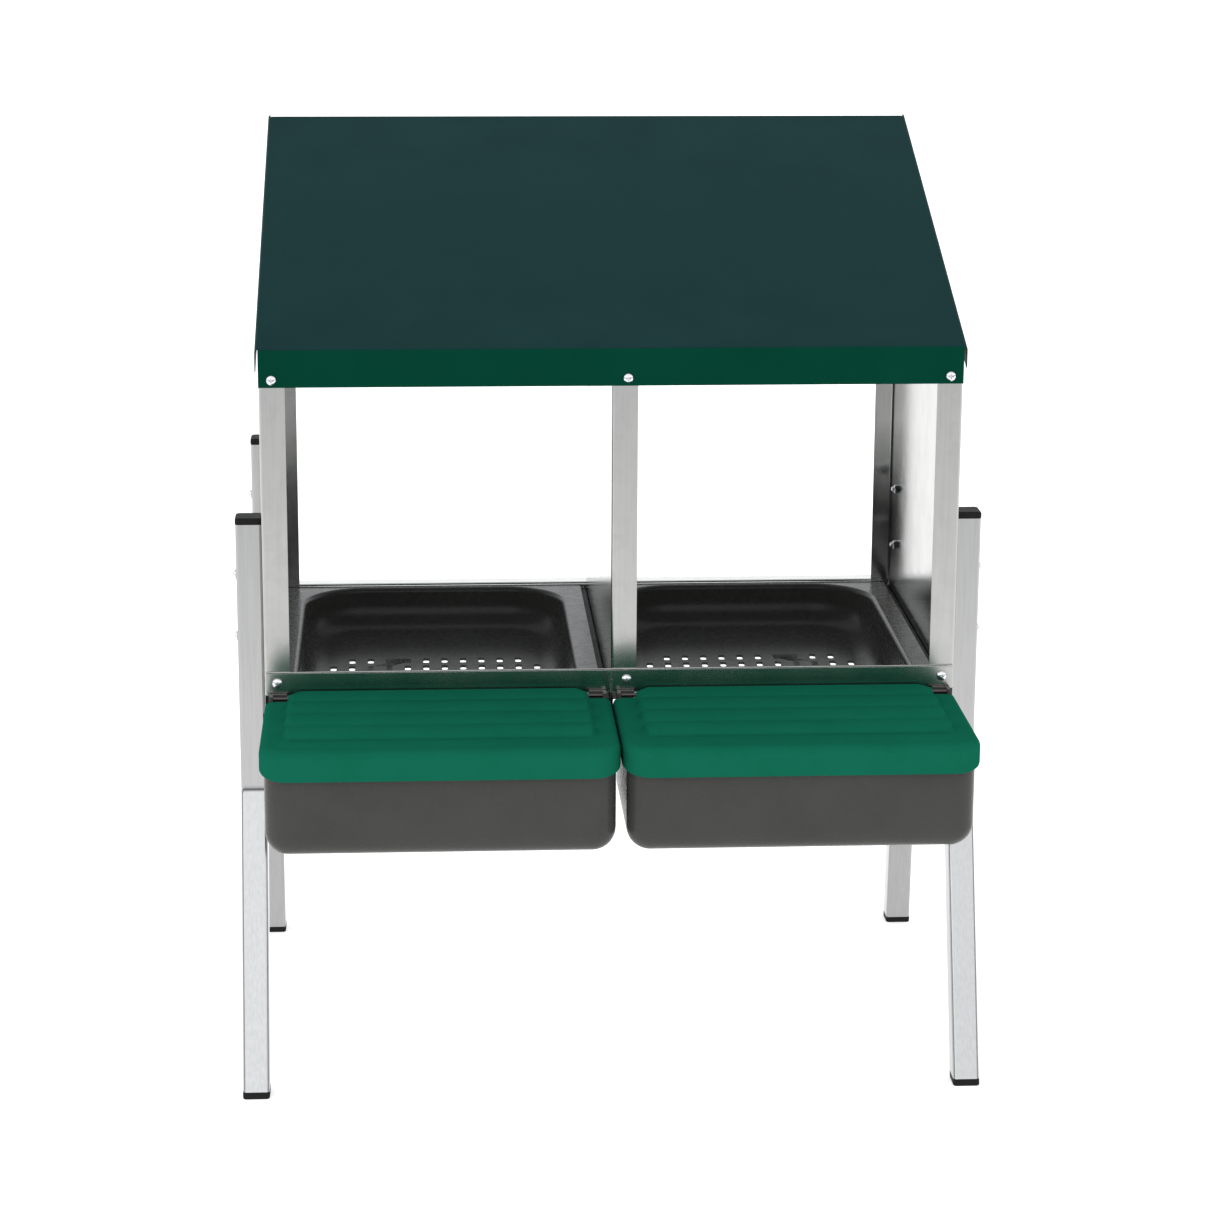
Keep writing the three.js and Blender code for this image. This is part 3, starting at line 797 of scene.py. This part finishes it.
def nest_solid(grown, front, flare):
    """The nest recess, grown outwards: its floor climbs to the rear, and its mouth may flare."""
    x_span = across(NEST_HALF, -grown)
    y_span = (front, NEST_REAR + grown)
    edge = NEST_EDGE + grown
    radii = (edge + 1, NEST_CORNER + grown)
    loops = []
    for angle in quarter_turn(8):
        plan = inset_plan(x_span, y_span, radii, edge * (1 - math.sin(angle)), 12)
        loops.append(level(plan, NEST_FLOOR - grown + edge * (1 - math.cos(angle)), NEST_RISE))
    for angle in quarter_turn(6) if flare else [0]:
        plan = inset_plan(x_span, y_span, radii, -flare * (1 - math.cos(angle)), 12)
        loops.append(level(plan, RIM_TOP - flare * (1 - math.sin(angle))))
    if flare:
        loops.append(level(plan, RIM_TOP + 10))
    return loft(loops)


def collector_solid(inset, top):
    """The egg collector, shrunk by an inset."""
    edge = COLLECTOR_RADIUS - inset
    return rounded_block(
        across(COLLECTOR_HALF, inset),
        (COLLECTOR_FRONT + inset, COLLECTOR_REAR - inset),
        (COLLECTOR_BOTTOM + inset, top),
        (edge, 4),
        low_edge=edge - 1,
        steps=8,
        corner_steps=10,
    )


def pocket_solid(inset, front):
    """Where the collector runs back under the front rail, and the eggs drop into it."""
    return rounded_block(
        across(NEST_HALF + COLLECTOR_WALL - inset),
        (front, POCKET_REAR + COLLECTOR_WALL - inset),
        (COLLECTOR_BOTTOM + inset, NEST_FLOOR + 2 * NEST_EDGE),
        (1, 4 - inset),
        low_edge=3,
    )


def slot_cutters():
    """The floor's slots, which widen a little at its upper face."""
    cutters = Shape()
    for row, count in enumerate(SLOTS_IN_ROWS):
        y = SLOT_REAR_ROW - row * SLOT_ROW_PITCH
        for i in range(count):
            x = TRAY_MIDDLE + (i - (count - 1) / 2) * SLOT_PITCH
            x_span = (x - SLOT_WIDTH / 2, x + SLOT_WIDTH / 2)
            y_span = (y - SLOT_LENGTH / 2, y + SLOT_LENGTH / 2)
            loops = []
            for grown, height in ((0, -8), (0, -0.3), (0.3, 0), (3.3, 3)):
                plan = inset_plan(x_span, y_span, (1.8, 1.8), -grown, 3)
                loops.append(level(plan, NEST_FLOOR + height, NEST_RISE))
            cutters.join(loft(loops))
    return cutters


def on_side(side, start, end):
    """A span in X measured from the tray's middle, on the given side of it."""
    return tuple(sorted(TRAY_MIDDLE + side * distance for distance in (start, end)))


def hinge_lugs(side):
    """A lug at a rear corner of the collector, and the ear on it that holds the hinge pin."""
    lug = rounded_block(
        on_side(side, LUG_OUTER - LUG_LENGTH, LUG_OUTER),
        (LUG_FRONT, LUG_REAR),
        (RIM_TOP - 1, PIN_Z + 2.4),
        (0.6, 0.6),
        high_edge=0.6,
        steps=3,
        corner_steps=3,
    )
    ear = rounded_block(
        on_side(side, LUG_OUTER - EAR_THICKNESS, LUG_OUTER),
        (EAR_FRONT, LUG_REAR + 0.1),
        (RIM_TOP - 1.2, PIN_Z + 2.6),
        (0.8, 0.6),
        high_edge=0.7,
        steps=3,
        corner_steps=3,
    )
    return [lug, ear]


def lid_relief(side):
    """A dip in the collector's rear wall and rim, for the open lid's ribs."""
    x_span = on_side(side, NEST_HALF - 1, LUG_OUTER - LUG_LENGTH - 0.5)
    y_span = (COLLECTOR_REAR - COLLECTOR_WALL - 1, COLLECTOR_REAR + 2)
    return block(x_span, y_span, (RIM_TOP - 8, RIM_TOP + 1))


def pin_bore():
    """What the pins' holes take out of the lugs and the lid's bosses."""
    return rod_x(PIN_RADIUS + 0.4, across(LID_HALF - 1), PIN_Y, PIN_Z)


def nest_tray():
    """One moulding: the rim, the nest recess and its slots, the egg collector and the lugs."""
    rim_plan = rectangle(across(RIM_HALF), (COLLECTOR_REAR, RIM_REAR), 0.4, RIM_REAR_CORNER, 6)
    rim = loft([level(rim_plan, RIM_TOP - RIM_THICKNESS), level(rim_plan, RIM_TOP)])
    pocket = pocket_solid(0, COLLECTOR_REAR - 1)
    nest = nest_solid(NEST_WALL, COLLECTOR_REAR - 5, 0)
    shell = carve(collector_solid(0, RIM_TOP), joined=[pocket, nest, rim])
    hollow = carve(
        shell,
        removed=[
            collector_solid(COLLECTOR_WALL, RIM_TOP + 9),
            pocket_solid(COLLECTOR_WALL, COLLECTOR_REAR - 20),
            nest_solid(0, COLLECTOR_REAR - 30, RIM_FLARE),
            lid_relief(-1),
            lid_relief(1),
            slot_cutters(),
        ],
    )
    return carve(hollow, joined=[*hinge_lugs(-1), *hinge_lugs(1)], removed=[pin_bore()])


# ---- Lids and pins ----


def rib_climb(y):
    """How far up its rib a place is, from 0 in a groove to 1 on the crest, and whether it lies
    on the front slope of the foremost rib."""
    for number, (rear, front) in enumerate(zip(RIB_BOUNDS, RIB_BOUNDS[1:])):
        if y >= front:
            share = min(max((rear - y) / (rear - front), 0), 1)
            wave = math.cos(share * math.pi / 2) if number == 0 else math.sin(share * math.pi)
            is_slope = number == len(RIB_BOUNDS) - 2 and share > 0.5
            return max(wave, 0) ** RIB_FULLNESS, is_slope
    return 0, True


def rib_height(x, y):
    """Upper face of the ribbed field, which runs down to the lid's flat top at its ends."""
    climb, is_slope = rib_climb(y)
    low = RIB_SEAT if is_slope else RIB_GROOVE
    ridge = low + (RIB_CREST - low) * climb
    corner = max(y - (LID_REAR - RIB_CHAMFER), 0)
    end = RIB_HALF - RIB_NOTCH * (1 - climb) - corner
    share = min(max((end - abs(x - TRAY_MIDDLE)) / RIB_END, 0), 1)
    fade = (share * share * (3 - 2 * share)) ** RIB_END_FULLNESS
    return RIB_SEAT + (ridge - RIB_SEAT) * fade


def rib_solid(drop):
    """The ribbed field as a solid with a flat underside, lowered by a drop."""
    depths = []
    for rear, front in zip(RIB_BOUNDS, RIB_BOUNDS[1:]):
        for i in range(16):
            depths.append(rear + (front - rear) * (1 - math.cos(math.pi * i / 16)) / 2)
    depths.append(RIB_BOUNDS[-1])
    near_end = [RIB_HALF - 0.8 * i for i in range(20)]
    between = [40.0 * i for i in range(-3, 4)]
    columns = sorted([-x for x in near_end] + near_end + between)
    base = LID_TOP - LID_WALL - 1 - drop
    loops = []
    for column in columns:
        x = TRAY_MIDDLE + column
        line = [(x, y, rib_height(x, y) - drop) for y in depths]
        loops.append(line + [(x, depths[-1], base), (x, depths[0], base)])
    return loft(loops)


def lip_corner(side):
    """What the lip leaves out at a front corner, where it rises to the lid's side."""
    start = LID_HALF - LID_LIP_TURN
    steps = 8
    outline = [(TRAY_MIDDLE + side * start, LID_LIP - 2)]
    for i in range(steps + 1):
        share = i / steps
        height = LID_LIP + LID_LIP_RISE * (1 - math.sqrt(1 - 0.98 * share ** 2))
        outline.append((TRAY_MIDDLE + side * (start + LID_LIP_TURN * share), height))
    outline.append((TRAY_MIDDLE + side * (LID_HALF + 2), LID_LIP + LID_LIP_RISE))
    outline.append((TRAY_MIDDLE + side * (LID_HALF + 2), LID_LIP - 2))
    outline = outline if side > 0 else outline[::-1]
    return along_y(outline, LID_REAR + 2, LID_FRONT - 2)


def egg_lid():
    """A hollow lid with the ribbed field, the notches for the lugs and the pins' bosses."""
    outer = rounded_block(
        across(LID_HALF),
        (LID_FRONT, LID_REAR),
        (LID_LIP, LID_TOP),
        (LID_CORNER, LID_EDGE + 1),
        low_edge=0.7,
        high_edge=LID_EDGE,
        steps=8,
        corner_steps=10,
    )
    inner = rounded_block(
        across(LID_HALF, LID_WALL),
        (LID_FRONT + LID_WALL, 40),
        (LID_LIP - 5, LID_TOP - LID_WALL),
        (LID_CORNER - LID_WALL, 1),
        high_edge=LID_INNER_EDGE,
        steps=4,
        corner_steps=10,
    )
    notches = []
    bosses = []
    for side in (-1, 1):
        x_span = on_side(side, NOTCH_INNER, NOTCH_OUTER)
        notches.append(block(x_span, (NOTCH_FRONT, 5), (LID_LIP - 1, RIB_CREST + 5)))
        boss_span = on_side(side, NOTCH_INNER - 1 - BOSS_LENGTH, NOTCH_INNER - 1)
        bosses.append(rod_x(BOSS_RADIUS, boss_span, PIN_Y, PIN_Z))
    field = carve(outer, joined=[rib_solid(0)])
    removed = [inner, rib_solid(LID_WALL + 0.8), lip_corner(-1), lip_corner(1), *notches]
    shell = carve(field, removed=removed)
    return carve(shell, joined=bosses, removed=[pin_bore()])


def hinge_pin(side):
    return rod_x(PIN_RADIUS, on_side(side, NOTCH_INNER - BOSS_LENGTH, LUG_OUTER), PIN_Y, PIN_Z, 32)


def add_trays():
    add_pair("nest_tray", nest_tray(), "tray_plastic")
    add_pair("egg_lid", egg_lid(), "lid_plastic")
    add_pair("hinge_pin_outer", hinge_pin(-1), "pin_steel")
    add_pair("hinge_pin_inner", hinge_pin(1), "pin_steel")


# ---- Legs ----


def leg_line(leg):
    """Centre line of a cranked leg as (y, z, lean angle) stations from its top to its foot."""
    lean = math.atan((leg["front"] - leg["foot"]) / BEND_HEIGHT)
    middle = leg["front"] + TUBE / 2
    bend_z = BEND_HEIGHT - TUBE / 2 * math.tan(lean / 2)
    reach = BEND_RADIUS * math.tan(abs(lean) / 2)
    turn = 1 if lean > 0 else -1
    stations = [(middle, leg["top"] - CAP_HEIGHT - GAP, 0)]
    for i in range(9):
        angle = abs(lean) * i / 8
        y = middle - turn * BEND_RADIUS * (1 - math.cos(angle))
        stations.append((y, bend_z + reach - BEND_RADIUS * math.sin(angle), turn * angle))
    foot = CAP_HEIGHT + GAP
    stations.append((middle - (bend_z - foot) * math.tan(lean), foot, lean))
    return stations


def leg_loops(leg, half, corner):
    """Sections of a leg with a square outline of the given half width, across its line."""
    stations = leg_line(leg)
    section = rectangle((-half, half), (-half, half), corner, corner, 6)
    loops = []
    for number, (y, z, lean) in enumerate(stations):
        level_cut = number in (0, len(stations) - 1)
        loop = []
        for u, v in section:
            if level_cut:
                loop.append((LEG_MIDDLE + u, y + v / math.cos(lean), z))
            else:
                loop.append((LEG_MIDDLE + u, y + v * math.cos(lean), z - v * math.sin(lean)))
        loops.append(loop)
    return loops


def leg_centre(leg, z):
    """Where the leg's centre line is in Y at a height, with its bend taken as sharp."""
    slope = (leg["front"] - leg["foot"]) / BEND_HEIGHT
    return leg["front"] + TUBE / 2 - max(BEND_HEIGHT - z, 0) * slope


def leg_shape(leg):
    """A square tube, open at both ends."""
    outer = leg_loops(leg, TUBE / 2, TUBE_CORNER)
    bore = leg_loops(leg, TUBE / 2 - TUBE_WALL, TUBE_CORNER - TUBE_WALL)
    return loft(outer + bore[::-1], wrapped=True)


def cap_shape(leg, lowest, highest, rounding):
    """A plate of the tube's own outline that follows the leg's lean, with one rounded end."""
    outer_x = LEG_MIDDLE - TUBE / 2 - CAP_OVERHANG
    inner_x = LEFT_FACE - GAP / 2
    half = TUBE / 2 + CAP_OVERHANG
    loops = []
    low_round, high_round = rounding
    for end, size, inwards in ((lowest, low_round, 1), (highest, high_round, -1)):
        part = []
        for angle in quarter_turn(5):
            inset = size * (1 - math.sin(angle))
            z = end + inwards * size * (1 - math.cos(angle))
            y = leg_centre(leg, z)
            corner = TUBE_CORNER + CAP_OVERHANG - inset / 2
            x_span = (outer_x + inset, inner_x - inset)
            plan = rectangle(x_span, (y - half + inset, y + half - inset), corner, corner, 6)
            part.append(level(plan, z))
        loops.extend(part if inwards > 0 else reversed(part))
    return loft(loops)


def plug_shape(leg, lowest, highest):
    """The part of a cap that goes into the tube."""
    half = TUBE / 2 - TUBE_WALL - PLUG_CLEARANCE
    loops = []
    for z in (lowest, highest):
        y = leg_centre(leg, z)
        plan = rectangle((LEG_MIDDLE - half, LEG_MIDDLE + half), (y - half, y + half), 1, 1, 3)
        loops.append(level(plan, z))
    return loft(loops)


def add_legs():
    for end, leg in LEGS.items():
        add_pair(f"{end}_leg", leg_shape(leg), "leg_tube")
        seat = leg["top"] - CAP_HEIGHT
        top_cap = carve(
            cap_shape(leg, seat, leg["top"], (0.4, 2)),
            joined=[plug_shape(leg, seat - CAP_PLUG, seat + 1)],
        )
        add_pair(f"{end}_leg_top_cap", top_cap, "black_plastic")
        foot_cap = carve(
            cap_shape(leg, 0, CAP_HEIGHT, (1, 0.4)),
            joined=[plug_shape(leg, CAP_HEIGHT - 1, CAP_HEIGHT + CAP_PLUG)],
        )
        add_pair(f"{end}_leg_foot_cap", foot_cap, "black_plastic")


# ---- Fasteners ----


def cross_recess(size, depth, top):
    """A tapered cross, sunk from the top of a head that points to +Y."""
    arm = 0.22 * size
    outline = [
        (arm, arm), (arm, size), (-arm, size), (-arm, arm), (-size, arm), (-size, -arm),
        (-arm, -arm), (-arm, -size), (arm, -size), (arm, -arm), (size, -arm), (size, arm),
    ]
    loops = []
    for share, y in ((0.45, top - depth), (1, top + 0.5)):
        loops.append([(x * share, y, z * share) for x, z in outline])
    return loft(loops)


def fastener(shank_radius, shank_length, head_radius, head_height, thread_pitch):
    """A domed cross-head fastener: its head's seat is at the origin and its top points to +Y."""
    profile = [(shank_radius * 0.55, -shank_length), (shank_radius * 0.85, -shank_length + 0.8)]
    turns = int((shank_length - 2) / thread_pitch)
    for i in range(turns):
        start = -shank_length + 1 + i * thread_pitch
        profile.append((shank_radius * 0.84, start))
        profile.append((shank_radius, start + thread_pitch / 2))
    profile.append((shank_radius * 0.9, -0.6))
    profile.append((shank_radius * 0.9, 0))
    rim = 0.25
    profile.append((head_radius - rim, 0))
    profile.append((head_radius, rim))
    for i in range(1, 9):
        angle = math.pi / 2 * i / 8.5
        radius = head_radius * math.cos(angle)
        profile.append((radius, rim + (head_height - rim) * math.sin(angle)))
    recess = cross_recess(head_radius * 0.56, head_height * 0.62, head_height)
    return carve(turned(profile), removed=[recess])


def hex_nut(across_flats, height, bore_radius):
    """A nut along X from 0 to its height, with its corners chamfered at both faces."""
    sides = 36
    flat = across_flats / 2
    face = flat - 0.15
    rings = {"low": [], "low_hex": [], "high_hex": [], "high": [], "high_bore": [], "low_bore": []}
    for i in range(sides):
        turn = 2 * math.pi * i / sides
        from_flat = (turn % (math.pi / 3)) - math.pi / 6
        reach = flat / math.cos(from_flat)
        y, z = math.cos(turn), math.sin(turn)
        chamfer = 0.1 + (reach - flat) * 0.6
        rings["low"].append((0, face * y, face * z))
        rings["low_hex"].append((chamfer, reach * y, reach * z))
        rings["high_hex"].append((height - chamfer, reach * y, reach * z))
        rings["high"].append((height, face * y, face * z))
        rings["high_bore"].append((height, bore_radius * y, bore_radius * z))
        rings["low_bore"].append((0, bore_radius * y, bore_radius * z))
    return loft(list(rings.values()), wrapped=True)


def add_row(node, shape, facing_front):
    """Screws at the places of their CAD nodes, which give the columns, the height and the seat."""
    for place in ("left", "center", "right"):
        low, high = extent(f"{node}_{place}")
        middle = (low + high) / 2
        seat = low.y + SCREW_HEAD if facing_front else high.y - SCREW_HEAD
        turn = Matrix.Rotation(math.pi if facing_front else 0, 4, "Z")
        placed = shape.moved(Matrix.Translation((middle.x, seat, middle.z)) @ turn)
        add_piece(f"{node}_{place}", placed, "zinc_fastener")


def add_fasteners():
    screw = fastener(2.1, 11, HEAD_RADIUS, SCREW_HEAD, thread_pitch=1.2)
    for node, facing_front in (
        ("fascia_screw", True),
        ("front_rail_screw", True),
        ("rear_rail_screw", False),
        ("roof_rear_screw", False),
    ):
        add_row(node, screw, facing_front)
    bolt = fastener(2.5, 34, HEAD_RADIUS, BOLT_HEAD, thread_pitch=0.9)
    nut = hex_nut(across_flats=8, height=4, bore_radius=2.85)
    for side, sign in (("left", -1), ("right", 1)):
        for end in ("front", "rear"):
            for place in ("lower", "upper"):
                label = f"{end}_{side}_{place}"
                low, high = extent(f"leg_bolt_{label}")
                middle = (low + high) / 2
                seat = high.x - BOLT_HEAD if sign > 0 else low.x + BOLT_HEAD
                turn = Matrix.Rotation(-sign * math.pi / 2, 4, "Z")
                placed = bolt.moved(Matrix.Translation((seat, middle.y, middle.z)) @ turn)
                add_piece(f"leg_bolt_{label}", placed, "zinc_fastener")
                corner = extent(f"leg_nut_{label}")[0]
                placed = nut.moved(Matrix.Translation((corner.x, middle.y, middle.z)))
                add_piece(f"leg_nut_{label}", placed, "zinc_fastener")


# ---- Stage, light and camera ----


def add_floor():
    """Pale floor that glows a little as painted light, with painted shade: its glow and its colour
    fall off far in front of the nest.
    """
    mesh = bpy.data.meshes.new("floor")
    reach = 60
    corners = [(-reach, -reach, 0), (reach, -reach, 0), (reach, reach, 0), (-reach, reach, 0)]
    mesh.from_pydata(corners, [], [[0, 1, 2, 3]])
    material, tree, surface = shader("pale_floor")
    geometry = tree.nodes.new("ShaderNodeNewGeometry")
    y = axes(tree, geometry.outputs["Position"])[1]
    # painted shade: the floor's colour and glow darken from near the nest to far in front of it
    far_front, near_front = -3.4, -1.2
    share = ramp(tree, y, far_front, near_front, 0, 1)
    colour = blended(tree, share, (0.53, 0.53, 0.53, 1), (0.81, 0.79, 0.78, 1))
    glow = ramp(tree, y, far_front, near_front, 0.38, 0.58)
    surface.inputs["Emission Color"].default_value = (1, 1, 1, 1)
    tree.links.new(glow, surface.inputs["Emission Strength"])
    tree.links.new(colour, surface.inputs["Base Color"])
    surface.inputs["Roughness"].default_value = 0.8
    surface.inputs["Specular IOR Level"].default_value = 0.1
    mesh.materials.append(material)
    floor = bpy.data.objects.new("floor", mesh)
    bpy.context.scene.collection.objects.link(floor)


def add_world():
    """A plain white studio: soft light from all round, a little stronger in front and to the
    left, dark along the horizon, and bright in a low band that is strongest at the rear."""
    world = bpy.data.worlds.new("studio")
    world.use_nodes = True
    bpy.context.scene.world = world
    tree = world.node_tree
    background = tree.nodes["Background"]
    background.inputs["Color"].default_value = (0.96, 0.98, 1, 1)
    direction = tree.nodes.new("ShaderNodeTexCoord")
    x, y, z = axes(tree, direction.outputs["Generated"])
    facing_front = combined(tree, "MULTIPLY_ADD", y, -0.3, 1.0)
    all_round = combined(tree, "MULTIPLY_ADD", x, -0.12, facing_front)
    rise = ramp(tree, z, 0.08, 0.2, 0, 1)
    fall = ramp(tree, z, 0.35, 0.6, 1, 0)
    band = combined(tree, "MULTIPLY", rise, fall)
    towards_rear = ramp(tree, y, -1, 1, 0.5, 1.15)
    with_band = combined(tree, "MULTIPLY_ADD", band, towards_rear, all_round)
    above_horizon = ramp(tree, z, 0.06, 0.22, 0.15, 1)
    strength = combined(tree, "MULTIPLY", with_band, above_horizon)
    tree.links.new(strength, background.inputs["Strength"])


def add_light(name, place, target, size, watts):
    """A rectangular light at a place, turned to a target."""
    data = bpy.data.lights.new(name, "AREA")
    data.shape = "RECTANGLE"
    data.size, data.size_y = size
    data.energy = watts
    light = bpy.data.objects.new(name, data)
    light.location = place
    light.rotation_mode = "QUATERNION"
    light.rotation_quaternion = (Vector(target) - Vector(place)).to_track_quat("-Z", "Y")
    bpy.context.scene.collection.objects.link(light)


def add_camera():
    """At the three-quarter height and slight turn that the nest is seen from."""
    place = (-0.1892, -3.14835, 1.2432)
    yaw, pitch, roll = (math.radians(angle) for angle in (3.51, 14.58, 0.29))
    data = bpy.data.cameras.new("camera")
    data.lens = 98.84
    data.sensor_width = 36
    data.clip_end = 100
    camera = bpy.data.objects.new("camera", data)
    ahead = math.cos(pitch)
    forward = Vector((math.sin(yaw) * ahead, math.cos(yaw) * ahead, -math.sin(pitch)))
    level_right = Vector((math.cos(yaw), -math.sin(yaw), 0))
    level_up = level_right.cross(forward)
    right = level_right * math.cos(roll) + level_up * math.sin(roll)
    up = level_up * math.cos(roll) - level_right * math.sin(roll)
    turn = Matrix((right, up, -forward)).transposed()
    camera.matrix_world = Matrix.Translation(place) @ turn.to_4x4()
    bpy.context.scene.collection.objects.link(camera)
    bpy.context.scene.camera = camera


add_housing()
add_trays()
add_legs()
add_fasteners()
add_floor()
add_world()
add_light("key", place=(-1.6, -3.6, 2.2), target=(0, 0, 0.5), size=(3, 3), watts=5)
add_camera()
bpy.context.scene.view_settings.view_transform = "Standard"
